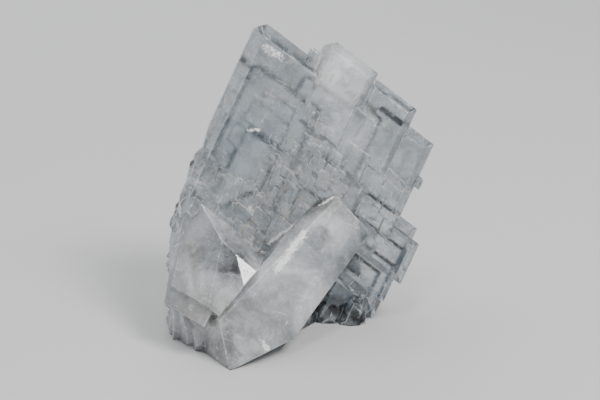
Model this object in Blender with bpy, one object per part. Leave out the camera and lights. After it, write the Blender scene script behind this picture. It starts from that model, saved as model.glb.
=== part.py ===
"""Barite crystal group: intergrown tabular crystals that stand on their broken, flat root.

A Blender 4.5 script. Metres, +Z up, the front faces -Y, and the origin is the centre of the
footprint. Lengths named below are in millimetres and angles in degrees. A direction is given
as (turn, tilt): it faces TURN degrees to the right of the front and TILT degrees up.
"""
import math
import random

import bmesh
import bpy
from mathutils import Euler, Vector

MM = 0.001
SEED = 9
GROUP_MIDDLE = Vector((-0.337, 23.084, 0.0))    # the floor point that becomes the origin
BLANK_SIZE = 200.0               # the block that each crystal is cut from, facet by facet
SMALLEST_EDGE = 0.02
COLOUR = (0.72, 0.78, 0.82, 1.0)
ROUGHNESS = 0.12

# Every plate is a prism with two broad faces. Its two pairs of sides meet at the prism angle.
EDGE_ACROSS = -38.4              # the two edges, as angles in the plane of the plate
EDGE_DOWN = -116.0
CORNER_TRIM = 1.7                # the top corner of each plate is cut off by at most this much
CORNER_SHARE = 0.8               # or by this share of its bevel
BACK_BEVEL = 0.6                 # width of the back bevel as a share of the front one
BEVEL_DEPTH = 1.1                # depth of a bevel as a share of its width
GROWTH_SKEW = 0.5                # how far a plate may be turned off its neighbours, each way

# The big plate leans back and turns a little to the right. FOOT lies on the floor, in the
# plane of its front face. APEX is its top corner in that plane, across and up from FOOT.
PLATE_TURN = 4.0
PLATE_LEAN = 12.0
FOOT = Vector((-14.0, 16.0, 0.0))
APEX = (6.6, 65.2)

# Plates that grew parallel to the big one. Each row gives where it starts and ends along
# the two prism edges, measured from APEX, how far its front and back stand out of the big
# plate's front face, and the width of its front bevel.
BIG_PLATE = (0.3, 34.0, -0.2, 74.0, 0.0, -11.0, 2.5)
SHOULDER_PLATES = (
    (12.6, 15.4, -2.0, 1.5, 0.4, -5.0, 0.4),
    (15.0, 27.6, -6.0, 13.0, 0.9, -7.0, 1.9),
    (26.5, 38.3, -5.0, 12.0, -0.2, -8.0, 1.7),
    (29.8, 33.4, 8.6, 14.6, 0.4, -4.0, 0.3),
    (30.0, 45.0, -1.5, 15.8, -1.8, -10.0, 2.0),
    (43.0, 46.2, 5.6, 8.0, -3.4, -7.0, 0.3),
    (26.0, 38.5, 10.0, 22.0, -0.7, -9.0, 0.5),
    (28.0, 42.0, 12.0, 24.5, -1.9, -9.0, 0.5),
    (31.0, 44.4, 12.0, 19.0, -2.8, -9.5, 0.8),
)
RIGHT_FOOT_PLATES = (
    (33.0, 51.4, 17.1, 26.4, -3.2, -8.4, 1.2),
    (36.0, 49.8, 14.8, 27.2, -4.6, -10.5, 1.0),
    (24.0, 50.0, 20.0, 31.8, -5.0, -13.0, 1.2),
    (22.0, 49.8, 24.0, 34.9, -6.2, -14.5, 1.4),
    (38.0, 47.8, 27.0, 60.0, -7.0, -15.5, 1.2),
    (18.0, 44.0, 30.0, 60.0, -8.0, -17.5, 1.0),
)
REAR_PLATES = (
    (3.0, 21.0, 7.0, 58.0, -9.0, -15.5, 2.2),
    (14.0, 30.0, 2.5, 34.0, -8.0, -14.0, 1.8),
    (7.5, 17.0, 19.0, 44.0, -12.0, -18.5, 1.6),
    (20.0, 37.0, 14.0, 40.0, -9.0, -17.0, 2.0),
    (24.0, 33.0, 22.0, 76.0, -13.0, -21.0, 1.5),
    (6.0, 25.0, 36.0, 94.0, -10.0, -21.5, 1.8),
)

# Small plates scattered over a zone. Each row gives the zone along the two prism edges, how
# many plates it holds, the range of their sizes, where their outer faces lie and how far
# these vary, and how deep the plates are rooted. The last two zones are on the back.
TERRACES = (
    (13.0, 31.5, 14.0, 46.0, 36, (1.5, 5.0), 0.3, 0.12, 3.0),
    (16.0, 31.5, 13.0, 42.0, 28, (1.3, 4.2), 0.6, 0.15, 3.0),
    (20.0, 31.0, 12.0, 34.0, 14, (1.3, 3.4), 0.95, 0.2, 3.0),
    (29.0, 43.0, 11.0, 25.0, 10, (1.5, 4.0), -1.0, 0.5, 4.0),
    (4.0, 36.0, 8.0, 58.0, 16, (4.0, 10.0), -17.0, 2.0, 8.0),
    (10.0, 34.0, 30.0, 62.0, 10, (3.0, 8.0), -21.5, 1.5, 8.0),
)
TABLET_BEVEL = 0.15
REAR_TABLET_BEVEL = 0.5
BACK_BEGINS = -10.0              # small plates whose outer faces lie behind this face the back

# Plates that grew across the others at the back. Each row gives the top corner, the
# direction that the broad face faces, its turn in its own plane, the width, the length, the
# thickness and the bevel.
CROSSING_PLATES = (
    ((-9.0, 41.0, 26.0), (163.0, 9.0), 10.0, 13.0, 40.0, 6.5, 1.4),
    ((12.0, 38.0, 20.0), (137.0, 6.0), 22.0, 10.0, 34.0, 4.5, 1.1),
    ((-20.0, 37.5, 19.0), (-158.0, 12.0), 4.0, 9.0, 30.0, 6.0, 1.2),
    ((4.0, 42.0, 13.0), (176.0, 16.0), -14.0, 12.0, 24.0, 5.0, 1.0),
)

# Where the group was broken off on its left: facets measured from the middle of the floor.
LEFT_BREAK = (
    (-90.0, 16.0, 29.4),
    (-91.0, 1.0, 26.2),
)
# Small plates along that break, parallel to the big one: how many, the range of their
# lengths and thicknesses, and how far they stand out of the break.
LEFT_TABLETS = 34
LEFT_TABLET_LENGTH = (2.5, 8.0)
LEFT_TABLET_THICKNESS = (1.6, 4.5)
LEFT_TABLET_REACH = (0.2, 1.3)
LEFT_TABLET_ROOT = 4.0
LEFT_HEIGHTS = (7.0, 29.0)
LEFT_DEPTHS = (1.5, 15.0)        # behind the front face of the big plate
# Rounded lumps on it: those along its front edge, as (height, radius), and how many more
# are scattered behind them.
EDGE_LUMPS = (
    (36.0, 1.5),
    (31.5, 1.2),
    (26.0, 2.1),
    (22.8, 1.5),
    (19.4, 2.0),
    (15.6, 1.5),
    (12.0, 1.9),
    (8.6, 1.8),
)
EDGE_LUMP_DEPTH = 1.2
BACK_LUMPS = 26
BACK_LUMP_DEPTHS = (5.0, 19.0)
BACK_LUMP_RADIUS = (1.6, 3.6)
EDGE_LUMP_SINK = 0.5             # how far a lump is sunk in, as a share of its radius
BACK_LUMP_SINK = 0.72
LUMP_LENGTH = 1.5                # a lump's length along the plate's long edge, in radii
LUMP_FACETS = 22
LUMP_EVENNESS = (0.88, 1.0)      # how far out its facets lie, as shares of its radius
GOLDEN_ANGLE = 137.5
LUMP_SKEW = 20.0

# Crystals with facets of their own, each (turn, tilt, distance from the crystal's centre).
ROOF_CENTRE = Vector((-3.0, 12.5, 12.5))
ROOF_FACETS = (
    (14.0, 29.0, 2.3),           # the broad front
    (-38.0, 54.5, 5.1),          # the bevel left of the ridge
    (-93.0, 45.0, 6.5),          # the narrow side beside it
    (123.7, 31.3, 20.2),         # the upper end
    (80.2, -36.1, 7.4),          # the long lower right side
    (36.0, 7.0, 4.1),            # the bevel along it
    (52.0, -55.0, 9.9),          # the broken lower end
    (-58.0, 3.0, 15.0),          # the lower left
    (194.0, -29.0, 14.0),        # the back, inside the group
)
HOUSE_CENTRE = Vector((-14.8, 17.2, 18.7))
HOUSE_FACETS = (
    (8.0, 35.0, 5.0),            # the front
    (-38.0, 36.0, 4.8),          # the left slope
    (75.0, 52.0, 2.9),           # the right slope
    (20.0, 36.0, 5.1),           # a small bevel on the right corner of the front
    (70.2, -33.7, 7.7),          # the lower right side
    (-50.9, -36.4, 12.5),        # the lower end
    (-100.0, 10.0, 9.0),         # the left side, inside the flank
    (188.0, -20.0, 8.0),         # the back, inside the group
)
FLANK_FACETS = (                 # the flank left of the house crystal, from the same centre
    (-38.0, 36.0, 3.9),
    (8.0, 35.0, 4.2),
    (-95.0, 4.0, 11.2),
    (-55.2, -52.7, 15.4),        # the ledge above the left foot
    (78.0, 50.0, 0.6),
    (70.0, -20.0, 4.5),
    (180.0, -5.0, 9.0),
)
LEFT_FOOT_CENTRE = Vector((-19.0, 17.0, 5.0))
LEFT_FOOT_FACETS = (
    (-57.0, 6.0, 5.2),
    (-36.0, 8.0, 4.6),
    (-90.0, 3.0, 7.6),
    (-40.0, 70.0, 4.6),
    (90.0, 0.0, 7.0),
    (180.0, 0.0, 12.0),
)
# Rounded knobs, each (centre, radius): low on the right, round the left foot, and between
# the flank and the roof crystal.
FOOT_KNOBS = (
    ((11.0, 25.6, 1.3), 2.7),
    ((12.2, 26.4, 3.2), 2.2),
    ((6.2, 26.4, 0.9), 2.4),
    ((8.6, 27.4, 1.6), 2.6),
    ((-22.0, 20.6, 2.6), 4.3),
    ((-19.8, 16.4, 2.4), 4.2),
    ((-17.6, 12.2, 2.0), 3.6),
    ((-16.6, 8.6, 6.6), 2.0),
)
ROOT_CENTRE = Vector((-2.0, 22.0, 0.0))
ROOT_FACETS = (
    (55.0, 2.0, 2.7),
    (-57.0, 2.0, 19.8),
    (-92.0, 4.0, 23.6),
    (90.0, 20.0, 8.5),
    (180.0, 14.0, 15.0),
    (140.0, 12.0, 15.0),
    (-140.0, 16.0, 22.0),
    (0.0, 62.0, 9.0),
    (14.0, 29.0, 14.5),
    (180.0, 62.0, 18.0),
)


def direction(turn, tilt):
    """Unit vector that faces TURN degrees right of the front and TILT degrees up."""
    turn = math.radians(turn)
    tilt = math.radians(tilt)
    return Vector((math.sin(turn) * math.cos(tilt), -math.cos(turn) * math.cos(tilt), math.sin(tilt)))


class PlateFrame:
    """Where a plate's top corner is, its two prism edges and the direction it faces."""

    def __init__(self, turn, tilt, roll=0.0):
        self.out = direction(turn, tilt)
        self.across = Vector((math.cos(math.radians(turn)), math.sin(math.radians(turn)), 0.0))
        self.up = self.out.cross(self.across)
        self.along = self.in_plane(EDGE_ACROSS + roll)
        self.down = self.in_plane(EDGE_DOWN + roll)
        self.corner = Vector((0.0, 0.0, 0.0))

    def in_plane(self, angle):
        """Unit vector at ANGLE from straight across, in the plane of the plate."""
        angle = math.radians(angle)
        return math.cos(angle) * self.across + math.sin(angle) * self.up

    def point(self, along, down, out):
        """The point ALONG and DOWN the two edges from the corner, OUT of the front face."""
        return self.corner + along * self.along + down * self.down + out * self.out


BIG = PlateFrame(PLATE_TURN, PLATE_LEAN)
BIG.corner = FOOT + APEX[0] * BIG.across + APEX[1] * BIG.up


def cut_crystal(planes):
    """A convex crystal: the block is cut away outside each plane, given by a point and a normal."""
    bm = bmesh.new()
    bmesh.ops.create_cube(bm, size=BLANK_SIZE)
    for point, normal in planes:
        geometry = bm.verts[:] + bm.edges[:] + bm.faces[:]
        bmesh.ops.bisect_plane(bm, geom=geometry, plane_co=point, plane_no=normal, clear_outer=True)
        rim = [edge for edge in bm.edges if edge.is_boundary]
        if rim:
            bmesh.ops.edgeloop_fill(bm, edges=rim)
    bmesh.ops.remove_doubles(bm, verts=bm.verts[:], dist=SMALLEST_EDGE)
    bmesh.ops.dissolve_degenerate(bm, edges=bm.edges[:], dist=SMALLEST_EDGE)
    bmesh.ops.recalc_face_normals(bm, faces=bm.faces[:])
    return bm


def plate_planes(chance, frame, start_along, end_along, start_down, end_down, front, back, bevel):
    """The planes of one plate: two broad faces, four sides, bevels on them, and the cut top corner."""
    middle = frame.point((start_along + end_along) / 2, (start_down + end_down) / 2, (front + back) / 2)
    start = frame.point(start_along, start_down, front)
    end = frame.point(end_along, end_down, front)
    depth = (back - front) * frame.out
    planes = [(start, frame.out), (start + depth, -frame.out)]
    for corner, edge in ((start, frame.down), (end, frame.down), (start, frame.along), (end, frame.along)):
        normal = edge.cross(frame.out).normalized()
        if normal.dot(corner - middle) < 0:
            normal = -normal
        front_slope = (BEVEL_DEPTH * normal + frame.out).normalized()
        back_slope = (BEVEL_DEPTH * normal - frame.out).normalized()
        planes.append((corner, normal))
        planes.append((corner - bevel * normal, front_slope))
        planes.append((corner + depth - bevel * BACK_BEVEL * normal, back_slope))
    tip = (-frame.along - frame.down).normalized()
    planes.append((start - min(CORNER_TRIM, CORNER_SHARE * bevel) * tip, tip))
    skew = Euler([math.radians(chance.uniform(-GROWTH_SKEW, GROWTH_SKEW)) for _ in range(3)]).to_matrix()
    return [(middle + skew @ (point - middle), skew @ normal) for point, normal in planes]


def tablet_planes(chance, zone, sizes, outer, spread, rooted):
    """The planes of one small plate at a random place in its zone, on the front or on the back."""
    start_along, end_along, start_down, end_down = zone
    width = chance.uniform(*sizes)
    length = chance.uniform(*sizes)
    along = chance.uniform(start_along, end_along - width)
    down = chance.uniform(start_down, end_down - length)
    outer += chance.uniform(-spread, spread)
    place = (along, along + width, down, down + length)
    if outer < BACK_BEGINS:
        return plate_planes(chance, BIG, *place, outer + rooted, outer, REAR_TABLET_BEVEL)
    return plate_planes(chance, BIG, *place, outer, outer - rooted, TABLET_BEVEL)


def facet_planes(centre, facets):
    """The planes of a crystal whose facets are given by turn, tilt and distance."""
    planes = []
    for turn, tilt, distance in facets:
        normal = direction(turn, tilt)
        planes.append((centre + distance * normal, normal))
    return planes


def break_side(y, height):
    """How far to the left the broken side lies at one depth Y and HEIGHT."""
    reach = []
    for turn, tilt, distance in LEFT_BREAK:
        normal = direction(turn, tilt)
        reach.append((distance - normal.y * y - normal.z * height) / normal.x)
    return max(reach)


def side_point(height, behind, inside):
    """The point INSIDE the left break at HEIGHT, BEHIND the big plate's front face."""
    y = FOOT.y + height * math.tan(math.radians(PLATE_LEAN)) + behind
    return Vector((break_side(y, height) + inside, y, height))


def rounded_planes(chance, centre, radius):
    """The planes of a rounded lump, longer along the big plate's long edge."""
    planes = []
    for number in range(LUMP_FACETS):
        tilt = math.degrees(math.asin(1 - 2 * (number + 0.5) / LUMP_FACETS))
        normal = direction(number * GOLDEN_ANGLE + chance.uniform(-LUMP_SKEW, LUMP_SKEW), tilt)
        stretch = 1 + (LUMP_LENGTH - 1) * abs(normal.dot(BIG.down))
        planes.append((centre + radius * chance.uniform(*LUMP_EVENNESS) * stretch * normal, normal))
    return planes


def side_lump_planes(chance, height, behind, radius, sink):
    """The planes of a rounded lump on the left break, sunk in by a share of its radius."""
    return rounded_planes(chance, side_point(height, behind, sink * radius), radius)


def left_tablet_planes(chance):
    """The planes of one small plate that stands out of the left break."""
    frame = PlateFrame(PLATE_TURN, PLATE_LEAN)
    frame.corner = side_point(chance.uniform(*LEFT_HEIGHTS), chance.uniform(*LEFT_DEPTHS), 0.0)
    half = chance.uniform(*LEFT_TABLET_LENGTH) / 2
    thickness = chance.uniform(*LEFT_TABLET_THICKNESS)
    reach = chance.uniform(*LEFT_TABLET_REACH)
    place = (-reach, LEFT_TABLET_ROOT, -half, half)
    return plate_planes(chance, frame, *place, 0.0, -thickness, TABLET_BEVEL * 2)


def guide(name, bm):
    """A hidden wire object for one crystal, moved so that the group's middle is the origin, in metres."""
    bmesh.ops.translate(bm, vec=-GROUP_MIDDLE, verts=bm.verts[:])
    bmesh.ops.scale(bm, vec=(MM, MM, MM), verts=bm.verts[:])
    mesh = bpy.data.meshes.new(name)
    bm.to_mesh(mesh)
    bm.free()
    crystal = bpy.data.objects.new(name, mesh)
    crystal.display_type = "WIRE"
    crystal.hide_render = True
    return crystal


def parallel_plates(chance):
    """The plates that grew parallel to the big one, as named sets of planes."""
    named_rows = (("shoulder", SHOULDER_PLATES), ("right_foot", RIGHT_FOOT_PLATES), ("rear", REAR_PLATES))
    plates = []
    for name, rows in named_rows:
        for row in rows:
            plates.append((name, plate_planes(chance, BIG, *row)))
    return plates


def later_growth(chance):
    """The crystals and lumps that grew on the plates, as named sets of planes."""
    growth = []
    for *zone, count, sizes, outer, spread, rooted in TERRACES:
        for _ in range(count):
            growth.append(("tablet", tablet_planes(chance, zone, sizes, outer, spread, rooted)))
    for corner, (turn, tilt), roll, width, length, thickness, bevel in CROSSING_PLATES:
        frame = PlateFrame(turn, tilt, roll)
        frame.corner = Vector(corner)
        planes = plate_planes(chance, frame, 0.0, width, 0.0, length, 0.0, -thickness, bevel)
        growth.append(("crossing", planes))
    for _ in range(LEFT_TABLETS):
        growth.append(("left_tablet", left_tablet_planes(chance)))
    for height, radius in EDGE_LUMPS:
        planes = side_lump_planes(chance, height, EDGE_LUMP_DEPTH, radius, EDGE_LUMP_SINK)
        growth.append(("edge_lump", planes))
    for _ in range(BACK_LUMPS):
        height = chance.uniform(*LEFT_HEIGHTS)
        behind = chance.uniform(*BACK_LUMP_DEPTHS)
        radius = chance.uniform(*BACK_LUMP_RADIUS)
        planes = side_lump_planes(chance, height, behind, radius, BACK_LUMP_SINK)
        growth.append(("back_lump", planes))
    growth.append(("roof", facet_planes(ROOF_CENTRE, ROOF_FACETS)))
    growth.append(("house", facet_planes(HOUSE_CENTRE, HOUSE_FACETS)))
    growth.append(("flank", facet_planes(HOUSE_CENTRE, FLANK_FACETS)))
    growth.append(("left_foot", facet_planes(LEFT_FOOT_CENTRE, LEFT_FOOT_FACETS)))
    growth.append(("root", facet_planes(ROOT_CENTRE, ROOT_FACETS)))
    for centre, radius in FOOT_KNOBS:
        growth.append(("foot_knob", rounded_planes(chance, Vector(centre), radius)))
    return growth


def join(body, name, operation, crystals):
    """Give BODY a Boolean modifier with CRYSTALS, which stay as hidden guides."""
    group = bpy.data.collections.new(name)
    bpy.context.scene.collection.children.link(group)
    for crystal_name, planes in crystals:
        group.objects.link(guide(crystal_name, cut_crystal(planes)))
    modifier = body.modifiers.new(name, "BOOLEAN")
    modifier.operation = operation
    modifier.operand_type = "COLLECTION"
    modifier.collection = group
    modifier.solver = "EXACT"


def crystal_material():
    """Bluish white, half clear crystal."""
    material = bpy.data.materials.new("barite")
    material.use_nodes = True
    shader = material.node_tree.nodes["Principled BSDF"]
    shader.inputs["Base Color"].default_value = COLOUR
    shader.inputs["Roughness"].default_value = ROUGHNESS
    shader.inputs["Metallic"].default_value = 0.0
    return material


def build():
    """Grow the plates, break their left side off, add the later growth and cut the base flat."""
    for old in list(bpy.data.objects):
        bpy.data.objects.remove(old)
    chance = random.Random(SEED)
    body = guide("barite_crystals", cut_crystal(plate_planes(chance, BIG, *BIG_PLATE)))
    body.display_type = "TEXTURED"
    body.hide_render = False
    body.data.materials.append(crystal_material())
    bpy.context.scene.collection.objects.link(body)
    floor_middle = Vector((0.0, 0.0, 0.0))
    join(body, "parallel_plates", "UNION", parallel_plates(chance))
    join(body, "left_break", "INTERSECT", [("sound_side", facet_planes(floor_middle, LEFT_BREAK))])
    join(body, "later_growth", "UNION", later_growth(chance))
    join(body, "flat_base", "INTERSECT", [("above_floor", facet_planes(floor_middle, [(0.0, -90.0, 0.0)]))])


build()
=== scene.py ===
"""Barite crystal group: clear to milky tabular crystals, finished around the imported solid."""
import math

import bmesh
import bpy
import numpy as np
from mathutils.bvhtree import BVHTree
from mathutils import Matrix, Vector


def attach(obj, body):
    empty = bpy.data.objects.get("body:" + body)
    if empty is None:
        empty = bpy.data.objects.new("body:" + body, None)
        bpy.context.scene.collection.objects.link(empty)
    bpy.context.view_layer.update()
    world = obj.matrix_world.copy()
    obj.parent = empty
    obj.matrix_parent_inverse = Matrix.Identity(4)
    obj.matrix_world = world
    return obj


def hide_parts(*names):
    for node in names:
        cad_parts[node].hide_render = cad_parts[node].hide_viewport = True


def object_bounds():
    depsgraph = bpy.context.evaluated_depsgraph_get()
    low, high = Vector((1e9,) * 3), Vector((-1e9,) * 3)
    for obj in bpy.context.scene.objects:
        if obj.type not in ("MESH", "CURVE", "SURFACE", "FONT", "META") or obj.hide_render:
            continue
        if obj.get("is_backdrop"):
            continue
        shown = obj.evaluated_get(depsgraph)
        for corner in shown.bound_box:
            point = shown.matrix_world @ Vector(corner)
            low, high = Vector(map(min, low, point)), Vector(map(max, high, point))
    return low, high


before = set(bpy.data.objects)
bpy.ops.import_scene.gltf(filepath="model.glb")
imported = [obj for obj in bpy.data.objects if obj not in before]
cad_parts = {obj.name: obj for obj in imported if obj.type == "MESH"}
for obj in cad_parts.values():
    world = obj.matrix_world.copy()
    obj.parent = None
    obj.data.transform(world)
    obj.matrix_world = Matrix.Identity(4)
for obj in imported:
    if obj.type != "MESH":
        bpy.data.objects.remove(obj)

cad_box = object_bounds()

# ---------------------------------------------------------------------------------------
# The camera looks down on the group from the front, as one looks at a specimen on a shelf:
# a long lens a third of a metre away, aimed a little below the middle of the group.
CAMERA_AIM = np.array([0.000337, -0.005084, 0.02913])
CAMERA_DISTANCE = 0.3333
CAMERA_TILT = math.radians(18.0)

camera_data = bpy.data.cameras.new("specimen_camera")
camera_data.lens = 100.0
camera_data.sensor_width = 36.0
camera_data.clip_start = 0.01
camera = bpy.data.objects.new("specimen_camera", camera_data)
bpy.context.scene.collection.objects.link(camera)
towards_camera = np.array([0.0, -math.cos(CAMERA_TILT), math.sin(CAMERA_TILT)])
camera.location = CAMERA_AIM + CAMERA_DISTANCE * towards_camera
camera.rotation_euler = (math.pi / 2 - CAMERA_TILT, 0.0, 0.0)
bpy.context.scene.camera = camera


# ---------------------------------------------------------------------------------------
# A plain pale table top under the group. It is a disc of matt board, wide enough that its
# edge stays out of every view.
FLOOR_RADIUS = 3.0
FLOOR_COLOUR = (0.60, 0.60, 0.595, 1.0)
FLOOR_ROUGHNESS = 0.9


def disc(name, radius, count=96):
    """A flat disc: point k of the rim is at radius times (cos, sin) of k turns over the count."""
    angle = np.linspace(0.0, 2 * np.pi, count, endpoint=False)
    rim = np.stack([radius * np.cos(angle), radius * np.sin(angle), np.zeros(count)], axis=1)
    mesh = bpy.data.meshes.new(name)
    mesh.from_pydata(rim.tolist(), [], [list(range(count))])
    thing = bpy.data.objects.new(name, mesh)
    bpy.context.scene.collection.objects.link(thing)
    return thing


floor = disc("table_top", FLOOR_RADIUS)
board = bpy.data.materials.new("pale_board")
board.use_nodes = True
board_shader = board.node_tree.nodes["Principled BSDF"]
board_shader.inputs["Base Color"].default_value = FLOOR_COLOUR
board_shader.inputs["Roughness"].default_value = FLOOR_ROUGHNESS
floor.data.materials.append(board)
floor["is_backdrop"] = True


# ---------------------------------------------------------------------------------------
# Plain soft studio light: square soft boxes above on the right, behind, overhead, over the
# camera and, weakly, on the left, and an even, faintly cool room around them.
ROOM_COLOUR = (0.94, 0.97, 1.0, 1.0)
ROOM_STRENGTH = 0.40
SOFT_BOXES = (
    # name, direction from the group, distance, size, watts, colour
    ("key_box", (0.500, -0.424, 0.755), 0.75, 0.26, 5.2, (1.0, 0.985, 0.965)),
    ("front_box", (-0.030, -0.420, 0.910), 0.75, 0.20, 1.5, (1.0, 1.0, 1.0)),
    ("rear_box", (-0.150, 0.880, 0.450), 0.80, 0.60, 2.4, (0.97, 0.99, 1.0)),
    ("top_box", (-0.510, 0.300, 0.810), 0.80, 0.60, 1.8, (1.0, 1.0, 1.0)),
    ("left_box", (-0.920, 0.090, 0.390), 0.80, 0.36, 0.3, (0.97, 0.99, 1.0)),
)

room = bpy.data.worlds.new("room")
bpy.context.scene.world = room
room.use_nodes = True
room_background = room.node_tree.nodes["Background"]
room_background.inputs["Color"].default_value = ROOM_COLOUR
room_background.inputs["Strength"].default_value = ROOM_STRENGTH
for box_name, towards, distance, size, watts, colour in SOFT_BOXES:
    light = bpy.data.lights.new(box_name, "AREA")
    light.shape = "SQUARE"
    light.size = size
    light.energy = watts
    light.color = colour
    lamp = bpy.data.objects.new(box_name, light)
    bpy.context.scene.collection.objects.link(lamp)
    towards = np.array(towards) / np.linalg.norm(towards)
    lamp.location = CAMERA_AIM + distance * towards
    turn = math.atan2(-towards[1], -towards[0]) - math.pi / 2
    lamp.rotation_euler = (math.acos(towards[2]), 0.0, turn)


# ---------------------------------------------------------------------------------------
# The crystal group: barite, one mass of clear to milky plates grown into each other. The
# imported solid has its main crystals. Here fine growth plates are fused onto its front, and
# small chips are cut out of its sharp edges.
MM = 0.001                              # lengths here are in millimetres
MERGE_DISTANCE = 1e-6                   # in metres
SEED = 11
# the middle of the group, from the point that the big plate's front is measured from; then that
# front's turn and tilt in degrees, its foot, its top corner, and the angles of its two edges
GROUP_MIDDLE = np.array([-0.337, 23.084, 0.0])
PLATE_TURN, PLATE_LEAN = 4.0, 12.0
PLATE_FOOT = np.array([-14.0, 16.0, 0.0])
PLATE_APEX = (6.6, 65.2)
PRISM_ANGLES = (-38.4, -116.0)
# the lines that find the surface: how far in front of it they start, and how square they have to
# meet it
LOOK_FROM = 20.0
SAME_WAY = 0.99
# the fine growth plates: the points of an outline, its squareness, raggedness and turn, and how
# deep a plate is rooted and bevelled
OUTLINE_POINTS = 16
SQUARENESS = 0.42
RAGGED = 0.15
TURNED = 0.10
PLATE_ROOT = 0.9
PLATE_BEVEL = 0.05
# the chips: their sizes, how far out they lie and how ragged they are, as shares of their depth,
# and the angle from which an edge counts as sharp
CHIP_COUNT = 420
CHIP_LENGTHS = (0.25, 1.3)
CHIP_DEPTHS = (0.10, 0.40)
CHIP_SINK = 0.45
CHIP_RAGGED = 0.35
SHARP_EDGE = math.radians(28.0)
# where the growth plates stand: zone (start and end along one edge, start and end along the
# other), widths and lengths, rise and count
FRONT_STEPS = (
    ((12.0, 32.0, 14.0, 46.0), ((0.8, 3.2), (0.8, 3.6)), (0.04, 0.30), 95),
    ((8.0, 20.0, 26.0, 46.0), ((1.0, 4.5), (1.0, 5.0)), (0.03, 0.16), 34),
    ((15.0, 26.0, 8.0, 16.0), ((0.8, 3.0), (0.8, 3.0)), (0.03, 0.14), 16),
    ((26.0, 46.0, 8.0, 26.0), ((1.2, 5.0), (1.2, 5.0)), (0.04, 0.22), 34),
    ((26.0, 50.0, 18.0, 40.0), ((1.0, 5.0), (0.7, 2.4)), (0.04, 0.22), 34),
)


def facing(turn, tilt):
    """The unit vector that faces TURN degrees right of the front and TILT degrees up."""
    turn, tilt = np.radians(turn), np.radians(tilt)
    return np.array([np.sin(turn) * np.cos(tilt), -np.cos(turn) * np.cos(tilt), np.sin(tilt)])


def big_plate_front():
    """The top corner of the big plate's front, the way it faces, and its two edge directions."""
    out = facing(PLATE_TURN, PLATE_LEAN)
    level = facing(PLATE_TURN + 90.0, 0.0)
    up = np.cross(out, level)
    angles = np.radians(PRISM_ANGLES)
    along, down = [np.cos(angle) * level + np.sin(angle) * up for angle in angles]
    corner = PLATE_FOOT + PLATE_APEX[0] * level + PLATE_APEX[1] * up - GROUP_MIDDLE
    return corner, out, along, down


def surface_levels(tree, corner, out, across, lengthwise):
    """How far along OUT the surface lies in front of or behind each point of the face.

    Each point is met by a straight line from some way in front of it. A point gets nan where
    that line meets nothing, or a face that is turned some other way.
    """
    starts = (corner + across + lengthwise + LOOK_FROM * out) * MM
    levels = []
    for start in starts.tolist():
        _, normal, _, distance = tree.ray_cast(start, -out)
        flat = normal is not None and normal.dot(out) > SAME_WAY
        levels.append(LOOK_FROM - distance / MM if flat else np.nan)
    return np.array(levels)


def small_plates(tree, corner, out, along, down, zone, sizes, rise, count, chance):
    """Small plates with rounded, ragged outlines on the surface that faces OUT, all at once.

    Vertex (ring, turn) = corner + a*along + b*down + h*out. Round the turn, a and b follow a
    squared-off ellipse, cos and sin each raised to a small power, times a ragged share. The
    rings are the sunken back, the side just under the top, and the top drawn in by the bevel.
    The top stands above the surface by the rise. Places, turns, sizes and rises are random.
    """
    half_a = chance.uniform(*sizes[0], count) / 2
    half_b = chance.uniform(*sizes[1], count) / 2
    middle_a = chance.uniform(zone[0] + half_a, zone[1] - half_a)
    middle_b = chance.uniform(zone[2] + half_b, zone[3] - half_b)
    top = surface_levels(tree, corner, out, middle_a[:, None] * along, middle_b[:, None] * down)
    top = top + chance.uniform(*rise, count)
    turn = (np.arange(OUTLINE_POINTS) + 0.5) * 2 * np.pi / OUTLINE_POINTS
    across = np.sign(np.cos(turn)) * np.abs(np.cos(turn)) ** SQUARENESS
    lengthwise = np.sign(np.sin(turn)) * np.abs(np.sin(turn)) ** SQUARENESS
    ragged = 1 + chance.uniform(-RAGGED, RAGGED, (count, OUTLINE_POINTS))
    turned = chance.uniform(-TURNED, TURNED, (count, 1))
    rings = []
    for drawn_in, lower in ((0.0, PLATE_ROOT), (0.0, PLATE_BEVEL), (PLATE_BEVEL, 0.0)):
        wide = (half_a[:, None] - drawn_in) * across * ragged
        long = (half_b[:, None] - drawn_in) * lengthwise * ragged
        a = middle_a[:, None] + wide - turned * long
        b = middle_b[:, None] + long + turned * wide
        level = (top - lower)[:, None, None]
        rings.append(a[..., None] * along + b[..., None] * down + level * out)
    points = (corner + np.stack(rings, axis=1)) * MM
    points = points[~np.isnan(top)].reshape(-1, 3)
    ring = np.arange(OUTLINE_POINTS)
    following = np.roll(ring, -1)
    wall = np.stack([ring, following, following + OUTLINE_POINTS, ring + OUTLINE_POINTS], axis=1)
    first = np.arange(0, len(points), 3 * OUTLINE_POINTS)[:, None, None]
    quads = (np.concatenate([wall, wall + OUTLINE_POINTS])[None] + first).reshape(-1, 4)
    caps = np.stack([ring[::-1], ring + 2 * OUTLINE_POINTS])[None] + first
    return points, quads, caps.reshape(-1, OUTLINE_POINTS)


def joined(pieces):
    """Several (points, quads, caps) sets as one list of points and one of faces."""
    starts = np.cumsum([0] + [len(points) for points, _, _ in pieces[:-1]])
    faces = []
    for (_, quads, caps), start in zip(pieces, starts):
        faces += (quads + start).tolist() + (caps + start).tolist()
    return np.concatenate([points for points, _, _ in pieces]), faces


def mesh_object(name, points, faces):
    """A mesh object at the origin, its faces turned to point outwards."""
    mesh = bpy.data.meshes.new(name)
    mesh.from_pydata(points.tolist(), [], faces)
    work = bmesh.new()
    work.from_mesh(mesh)
    bmesh.ops.recalc_face_normals(work, faces=work.faces[:])
    work.to_mesh(mesh)
    work.free()
    thing = bpy.data.objects.new(name, mesh)
    bpy.context.scene.collection.objects.link(thing)
    return thing


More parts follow.
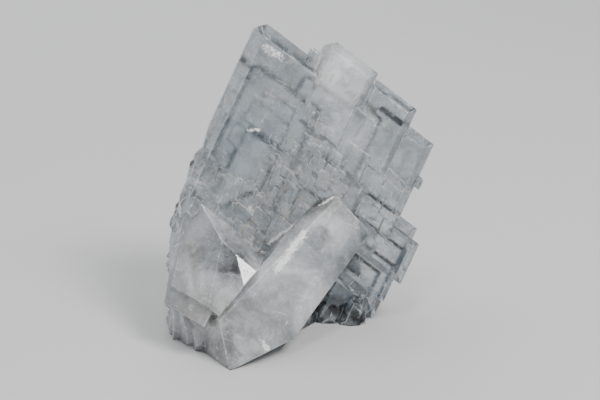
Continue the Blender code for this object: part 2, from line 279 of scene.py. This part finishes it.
def merged_copy(node, name):
    """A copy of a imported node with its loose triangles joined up."""
    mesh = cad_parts[node].data.copy()
    work = bmesh.new()
    work.from_mesh(mesh)
    bmesh.ops.remove_doubles(work, verts=work.verts[:], dist=MERGE_DISTANCE)
    work.to_mesh(mesh)
    work.free()
    mesh.materials.clear()
    thing = bpy.data.objects.new(name, mesh)
    bpy.context.scene.collection.objects.link(thing)
    return thing


def edge_chips(body, chance):
    """Small gouges along the sharp outer edges of BODY, all at once.

    Each is a stretched octahedron: edge point + sink*outward +- length*edge, +- depth*side and
    +- depth*outward, every corner moved a little. Edge points are drawn by edge length.
    """
    work = bmesh.new()
    work.from_mesh(body.data)
    sharp = [edge for edge in work.edges if edge.calc_face_angle_signed(0.0) > SHARP_EDGE]
    ends = np.array([[corner.co for corner in edge.verts] for edge in sharp])
    sides = np.array([[face.normal for face in edge.link_faces] for edge in sharp])
    work.free()
    span = np.linalg.norm(ends[:, 1] - ends[:, 0], axis=1)
    chosen = chance.choice(len(sharp), CHIP_COUNT, p=span / span.sum())
    ends, outward = ends[chosen], sides[chosen].sum(axis=1)
    outward /= np.linalg.norm(outward, axis=1)[:, None]
    edge = (ends[:, 1] - ends[:, 0]) / span[chosen][:, None]
    side = np.cross(edge, outward)
    length = chance.uniform(*CHIP_LENGTHS, CHIP_COUNT)[:, None] * MM
    depth = chance.uniform(*CHIP_DEPTHS, CHIP_COUNT)[:, None] * MM
    middle = ends[:, 0] + (ends[:, 1] - ends[:, 0]) * chance.uniform(0.0, 1.0, CHIP_COUNT)[:, None]
    middle = middle + outward * (depth * CHIP_SINK)
    arms = np.stack([edge * length, side * depth, outward * depth], axis=1)
    corners = middle[:, None] + np.concatenate([arms, -arms], axis=1)
    moved = chance.uniform(-CHIP_RAGGED, CHIP_RAGGED, corners.shape)
    corners = corners + moved * depth[:, None]
    upper = [(0, 1, 2), (1, 3, 2), (3, 4, 2), (4, 0, 2)]
    lower = [(1, 0, 5), (3, 1, 5), (4, 3, 5), (0, 4, 5)]
    first = corners.shape[1] * np.arange(CHIP_COUNT)[:, None, None]
    faces = (np.array(upper + lower)[None] + first).reshape(-1, 3)
    return mesh_object("edge_chips", corners.reshape(-1, 3), faces.tolist())


def combined(body, other, operation):
    """BODY with OTHER joined into it or cut out of it, as one closed surface."""
    change = body.modifiers.new("change", "BOOLEAN")
    change.operation = operation
    change.solver = "EXACT"
    change.use_self = True
    change.object = other
    finished = body.evaluated_get(bpy.context.evaluated_depsgraph_get())
    result = bpy.data.meshes.new_from_object(finished)
    body.modifiers.clear()
    body.data = result
    bpy.data.objects.remove(other)
    return body


chance = np.random.default_rng(SEED)
front = big_plate_front()
crystals = merged_copy("barite_crystals", "crystal_group")
tree = BVHTree.FromObject(crystals, bpy.context.evaluated_depsgraph_get())
chips = edge_chips(crystals, chance)
step_sets = [small_plates(tree, *front, *row, chance) for row in FRONT_STEPS]
steps = mesh_object("growth_steps", *joined(step_sets))
crystals = combined(crystals, steps, "UNION")
crystals = combined(crystals, chips, "DIFFERENCE")


class Shade:
    """A shader value. Plain arithmetic on it adds Math nodes to its material."""

    def __init__(self, nodes, socket):
        self.nodes = nodes
        self.socket = socket

    def math(self, operation, *values, clamp=False):
        settings = {"operation": operation, "use_clamp": clamp}
        return self.nodes.add("ShaderNodeMath", settings, dict(enumerate(values)))

    def __add__(self, other):
        return self.math("ADD", self, other)

    def __sub__(self, other):
        return self.math("SUBTRACT", self, other)

    def __rsub__(self, other):
        return self.math("SUBTRACT", other, self)

    def __mul__(self, other):
        return self.math("MULTIPLY", self, other)

    def __truediv__(self, other):
        return self.math("DIVIDE", self, other)

    __radd__ = __add__

    def clamped(self):
        return self.math("ADD", self, 0.0, clamp=True)

    def at_least(self, other):
        return self.math("MAXIMUM", self, other)

    def ramp(self, low, high):
        """0 below LOW, 1 above HIGH, and smooth between. LOW may be above HIGH."""
        settings = {"interpolation_type": "SMOOTHSTEP"}
        inputs = {"Value": self, "From Min": low, "From Max": high}
        return self.nodes.add("ShaderNodeMapRange", settings, inputs)


class Nodes:
    """The node tree of one material."""

    def __init__(self, material):
        material.use_nodes = True
        self.tree = material.node_tree
        self.tree.nodes.clear()

    def add(self, kind, settings, inputs, output=0):
        """A node of KIND: its settings are set first, then each input gets a value or a link."""
        node = self.tree.nodes.new(kind)
        for key, value in settings.items():
            setattr(node, key, value)
        for key, value in inputs.items():
            if isinstance(value, Shade):
                self.tree.links.new(value.socket, node.inputs[key])
            else:
                node.inputs[key].default_value = value
        return Shade(self, node.outputs[output])

    def finish(self, surface, volume):
        """Feed the surface and the volume to the material's output."""
        end = self.tree.nodes.new("ShaderNodeOutputMaterial")
        self.tree.links.new(surface.socket, end.inputs["Surface"])
        self.tree.links.new(volume.socket, end.inputs["Volume"])

    def vector(self, operation, *values, output=0):
        """A Vector Math node on the given vectors."""
        inputs = dict(enumerate(values))
        return self.add("ShaderNodeVectorMath", {"operation": operation}, inputs, output)

    def mix(self, factor, first, second):
        """FIRST where the factor is 0 and SECOND where it is 1, for colours."""
        inputs = {0: factor, 6: first, 7: second}
        return self.add("ShaderNodeMix", {"data_type": "RGBA"}, inputs, output=2)

    def distance(self, place, centre, stretch):
        """How far PLACE is from CENTRE in metres, with each axis divided by its stretch."""
        away = self.vector("SUBTRACT", place, centre)
        return self.vector("LENGTH", self.vector("DIVIDE", away, stretch), output="Value")

    def along(self, place, axes):
        """PLACE measured along three directions. A longer one makes a pattern finer along it."""
        shares = {}
        for number, axis in enumerate(axes):
            shares[number] = self.vector("DOT_PRODUCT", place, tuple(axis), output="Value")
        return self.add("ShaderNodeCombineXYZ", {}, shares)

    def from_line(self, place, start, end):
        """How far PLACE is from the straight line between two points, in metres."""
        line = [e - s for s, e in zip(start, end)]
        span = sum(x * x for x in line)
        away = self.vector("SUBTRACT", place, start)
        share = (self.vector("DOT_PRODUCT", away, line, output="Value") / span).clamped()
        inputs = {0: line, "Scale": share}
        nearest = self.add("ShaderNodeVectorMath", {"operation": "SCALE"}, inputs)
        return self.vector("DISTANCE", away, nearest, output="Value")


# how barite handles light: its refraction, the gloss on its faces, its tint where it is clear, how
# far light spreads where it is milky, what its depth absorbs, and how wide its edges are rounded
BARITE_IOR = 1.636
GLOSS_IOR = 1.6
GLOSS_ROUGHNESS = 0.09
CLEAR_TINT = (0.86, 0.885, 0.91, 1)
MILK_SPREAD = (0.005, 0.005, 0.005)     # in metres, for red, green and blue
DEPTH_TINT = (0.79, 0.83, 0.86, 1)
DEPTH_DENSITY = 120.0
EDGE_RADIUS = 0.00021                   # in metres

barite = bpy.data.materials.new("barite_crystal")
n = Nodes(barite)
place = n.add("ShaderNodeTexCoord", {}, {}, output="Object")
true_normal = n.add("ShaderNodeNewGeometry", {}, {}, output="Normal")


def noise(scale, detail, roughness, distortion=0.0, at=place):
    """Cloudy noise about 1/SCALE metres across."""
    grain = {"Scale": scale, "Detail": detail, "Roughness": roughness, "Distortion": distortion}
    return n.add("ShaderNodeTexNoise", {}, {"Vector": at, **grain})


# clouds of fine fluid inclusions, healed cracks, and cleavage lines that follow the plates' edges
wide = noise(95.0, 4.0, 0.55, 1.0)
middle = noise(330.0, 5.0, 0.60, 0.8)
fine = noise(1300.0, 4.0, 0.65, 0.3)
bends = {"Vector": place, "Scale": 160.0, "Detail": 3.0}
bend = n.add("ShaderNodeTexNoise", {}, bends, output="Color")
bent = n.vector("MULTIPLY_ADD", bend, (0.009, 0.009, 0.009), place)
cells = {"Vector": bent, "Scale": 150.0}
cracks = n.add("ShaderNodeTexVoronoi", {"feature": "DISTANCE_TO_EDGE"}, cells)
cracks = cracks.ramp(0.014, 0.0) * middle.ramp(0.50, 0.64)
_, front_out, front_along, front_down = front
drawn_along = n.along(place, (front_along * 130, front_down * 1500, front_out * 500))
drawn_down = n.along(place, (front_along * 1500, front_down * 130, front_out * 500))
cleaved = noise(1.0, 3.0, 0.5, 0.0, drawn_along)
crossed = noise(1.0, 3.0, 0.5, 0.0, drawn_down)
lines = (cleaved.ramp(0.60, 0.70) + crossed.ramp(0.62, 0.72)).clamped() * middle.ramp(0.44, 0.62)
wisps = (cracks * 0.6 + lines * 0.6).clamped()

# where the crystals are clearest, milkiest and whitest, where their edges are stained, where the
# milk is warm, and where fine steps crowd: centre, stretch and radius in metres
CLEAR_PLACES = (
    ((-0.0123, 0.0014, 0.0393), (1.0, 1.6, 1.3), 0.0070),
    ((-0.0018, 0.0029, 0.0429), (1.0, 1.6, 1.2), 0.0055),
    ((0.0150, 0.0020, 0.0060), (1.3, 1.3, 1.0), 0.0120),
    ((-0.0130, -0.0125, 0.0180), (1.3, 1.2, 0.8), 0.0045),
    ((0.0040, -0.0060, 0.0215), (1.2, 1.0, 1.0), 0.0035),
    ((-0.0175, -0.0085, 0.0205), (1.0, 1.0, 1.5), 0.0052),
    ((-0.0025, 0.0070, 0.0578), (1.8, 1.2, 1.0), 0.0045),
    ((0.0238, 0.0030, 0.0350), (1.0, 1.2, 1.3), 0.0070),
    ((0.0195, 0.0010, 0.0220), (1.2, 1.4, 1.2), 0.0080),
    ((-0.0150, -0.0205, 0.0035), (1.0, 1.0, 1.2), 0.0045),
)
MILKY_PLACES = (
    ((0.0060, -0.0060, 0.0230), (1.3, 1.0, 1.2), 0.0060),
    ((-0.0200, -0.0060, 0.0140), (1.0, 1.6, 1.4), 0.0120),
    ((-0.0016, -0.0128, 0.0129), (1.3, 1.0, 1.3), 0.0120),
    ((-0.0090, -0.0200, 0.0050), (1.3, 1.0, 1.2), 0.0110),
    ((0.0090, 0.0055, 0.0400), (1.2, 1.0, 1.4), 0.0070),
    ((-0.0168, -0.0155, 0.0072), (1.0, 1.0, 1.0), 0.0030),
    ((-0.0140, -0.0165, 0.0120), (1.0, 1.0, 1.0), 0.0045),
    ((-0.0225, -0.0080, 0.0040), (1.0, 1.5, 1.0), 0.0070),
    ((-0.0080, 0.0140, 0.0080), (1.4, 1.0, 1.0), 0.0120),
)
WHITE_PLACES = (
    ((0.0086, 0.0055, 0.0518), (1.0, 1.4, 1.1), 0.0085),
)
STAINED_PLACES = (
    ((-0.0017, -0.0002, 0.0286), (1.4, 1.0, 1.0), 0.0090),
    ((-0.0080, -0.0019, 0.0225), (1.3, 1.0, 1.0), 0.0065),
    ((-0.0077, 0.0010, 0.0359), (1.0, 1.0, 1.0), 0.0028),
    ((0.0060, 0.0050, 0.0570), (1.0, 1.0, 1.0), 0.0030),
)
WARM_PLACES = (
    ((-0.0190, -0.0150, 0.0095), (1.6, 1.0, 1.0), 0.0060),
    ((-0.0210, -0.0070, 0.0150), (0.6, 1.0, 1.6), 0.0060),
    ((0.0000, -0.0020, 0.0300), (2.0, 1.0, 1.0), 0.0090),
)
STEPPED_PLACES = (
    ((0.0030, 0.0010, 0.0330), (1.4, 1.0, 1.0), 0.0150),
    ((-0.0050, -0.0010, 0.0220), (1.0, 1.0, 1.0), 0.0080),
)
# bruised places, where the crystal is splintered white, and a painted white highlight line on the
# roof crystal's ridge: the splinters' directions, long and thin along the first, then the start,
# end and radius of each place in metres
SPLINTER_AXES = ((-800.0, -740.0, -960.0), (3900.0, 0.0, -3240.0), (1800.0, -4500.0, 2100.0))
BRUISES_AND_RIDGE_HIGHLIGHT = (
    ((0.0009, -0.0067, 0.0226), (-0.0039, -0.0112, 0.0168), 0.0009),
    ((-0.0066, 0.0058, 0.0578), (-0.0036, 0.0053, 0.0560), 0.0010),
    ((-0.0101, 0.0021, 0.0416), (-0.0080, 0.0021, 0.0417), 0.0004),
    ((0.0158, 0.0036, 0.0422), (0.0212, 0.0033, 0.0407), 0.0005),
    ((-0.0098, -0.0012, 0.0262), (-0.0078, -0.0021, 0.0222), 0.0005),
    ((-0.0090, -0.0190, 0.0080), (-0.0060, -0.0195, 0.0030), 0.0005),
    # not a bruise: a painted white highlight line along the roof crystal's ridge
    ((0.0069, -0.0011, 0.0284), (-0.0063, -0.0031, 0.0190), 0.0004),
)


def spots(places):
    """1 inside any of the PLACES and 0 outside, with ragged, soft edges."""
    found = 0.0
    for centre, stretch, radius in places:
        away = n.distance(place, centre, stretch) + (middle - 0.5) * radius * 1.2
        found = away.ramp(radius, radius * 0.3).at_least(found)
    return found


clear, milky, white = spots(CLEAR_PLACES), spots(MILKY_PLACES), spots(WHITE_PLACES)
stained, warm, stepped = spots(STAINED_PLACES), spots(WARM_PLACES), spots(STEPPED_PLACES)
splinters = noise(1.0, 4.0, 0.6, 0.0, n.along(place, SPLINTER_AXES)).ramp(0.44, 0.62)
bruise_and_highlight = 0.0
for start, end, radius in BRUISES_AND_RIDGE_HIGHLIGHT:
    bruise_and_highlight = n.from_line(place, start, end).ramp(radius * 1.6, 0.0).at_least(bruise_and_highlight)
flakes = n.add("ShaderNodeTexVoronoi", {}, {"Vector": place, "Scale": 2300.0}, output="Color")
flakes = n.add("ShaderNodeSeparateXYZ", {}, {0: flakes}, output="X").ramp(0.60, 0.66)
bruise_and_highlight = (bruise_and_highlight * 1.4 - (1 - splinters.at_least(flakes)) * 0.9).clamped()
# the back of the group: made clearer, and its milk painted lighter as painted light where the
# front lamps leave it dim
rear = n.add("ShaderNodeSeparateXYZ", {}, {0: place}, output="Y").ramp(0.007, 0.015)
specks = noise(3000.0, 2.0, 0.5).ramp(0.63, 0.72) * wide.ramp(0.42, 0.58)

# how milky each place is, from 0 for clear to 1
cloud = 0.27 + wide.ramp(0.38, 0.66) * 0.30
cloud = cloud + (middle - 0.5) * (1.45 - milky * 0.95) + (fine - 0.5) * 0.4
cloud = cloud + milky * 0.24 + white * 0.36 - clear * 0.36 - rear * 0.16
cloud = (cloud + wisps * 0.32 + specks * 0.4 + bruise_and_highlight).clamped()

# rounded, frosted edges, whitened partly as frost and partly as a painted highlight: the softened
# normal turns away from the true one near an edge
soft_normal = n.add("ShaderNodeBevel", {"samples": 6}, {"Radius": EDGE_RADIUS})
edge = n.vector("DOT_PRODUCT", soft_normal, true_normal, output="Value").ramp(0.998, 0.90)
edge = edge * (fine.ramp(0.42, 0.56) * 0.45 + middle.ramp(0.40, 0.60) * 0.40 + 0.15)
# among the crowded fine steps most edges stay faint
faint = stepped * (1 - middle.ramp(0.50, 0.60) * fine.ramp(0.44, 0.58))
edge = edge * (1 - faint * 0.75)
relief = noise(300.0, 5.0, 0.55) * 0.6 + noise(2600.0, 3.0, 0.6) * 0.3 + cleaved * 0.2
bump = {"Strength": 0.2, "Distance": 0.0003, "Height": relief, "Normal": soft_normal}
normal = n.add("ShaderNodeBump", {}, bump)

# the colours that the milky parts go through, each laid over the last where it belongs
SMOKE = (0.200, 0.235, 0.262, 1)
MIST = (0.320, 0.345, 0.365, 1)
HAZE = (0.52, 0.54, 0.555, 1)
DEEP_BLUE = (0.110, 0.150, 0.190, 1)
REAR_MILK_PAINTED_LIGHTER = (0.56, 0.585, 0.605, 1)
MILK = (0.675, 0.70, 0.72, 1)
WHITE_MILK = (0.82, 0.83, 0.84, 1)
WISP_WHITE = (0.80, 0.81, 0.81, 1)
WARM_GREY = (0.36, 0.345, 0.30, 1)
EDGE_FROST_AND_HIGHLIGHT = (0.93, 0.93, 0.92, 1)
STAIN = (0.62, 0.52, 0.37, 1)
BRUISE_AND_HIGHLIGHT_WHITE = (0.92, 0.92, 0.91, 1)
colour = n.mix(wide.ramp(0.35, 0.65), SMOKE, MIST)
colour = n.mix(middle.ramp(0.45, 0.68) * 0.5, colour, HAZE)
colour = n.mix(clear * 0.75, colour, DEEP_BLUE)
# painted light: the milk at the back is painted lighter
colour = n.mix(rear * 0.75, colour, REAR_MILK_PAINTED_LIGHTER)
colour = n.mix(milky * 0.85, colour, MILK)
colour = n.mix(white * 0.9, colour, WHITE_MILK)
colour = n.mix((wisps * 0.75 + specks * 0.6).clamped(), colour, WISP_WHITE)
colour = n.mix(warm * 0.5, colour, WARM_GREY)
# edges whitened: partly frost, partly a painted highlight along them
colour = n.mix(edge, colour, EDGE_FROST_AND_HIGHLIGHT)
colour = n.mix((edge * 0.8 + fine.ramp(0.52, 0.60) * 0.25) * stained, colour, STAIN)
# splintered white bruises, and a painted white highlight line on the roof crystal's ridge
colour = n.mix(bruise_and_highlight, colour, BRUISE_AND_HIGHLIGHT_WHITE)
coat = middle.ramp(0.36, 0.62) * 0.55 + 0.40
rough = middle * 0.20 + edge * 0.2 + clear * 0.04 + 0.07

shared = {
    "IOR": BARITE_IOR, "Normal": normal,
    "Coat Weight": coat, "Coat Roughness": GLOSS_ROUGHNESS, "Coat IOR": GLOSS_IOR,
}
glassy = n.add("ShaderNodeBsdfPrincipled", {}, {
    "Base Color": CLEAR_TINT, "Roughness": rough, "Transmission Weight": 1.0, **shared,
})
frosted = n.add("ShaderNodeBsdfPrincipled", {}, {
    "Base Color": colour, "Roughness": rough + 0.1, "Subsurface Weight": 1.0,
    "Subsurface Radius": MILK_SPREAD, "Subsurface Scale": 1.0, **shared,
})
both = n.add("ShaderNodeMixShader", {}, {0: (cloud + edge * 0.6).clamped(), 1: glassy, 2: frosted})
depth = n.add("ShaderNodeVolumeAbsorption", {}, {"Color": DEPTH_TINT, "Density": DEPTH_DENSITY})
n.finish(both, depth)

crystals.data.materials.append(barite)
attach(crystals, "root")
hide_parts("barite_crystals")

sizes = {"cad": cad_box, "visual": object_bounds()}
sizes = {name: [list(map(float, corner)) for corner in box] for name, box in sizes.items()}
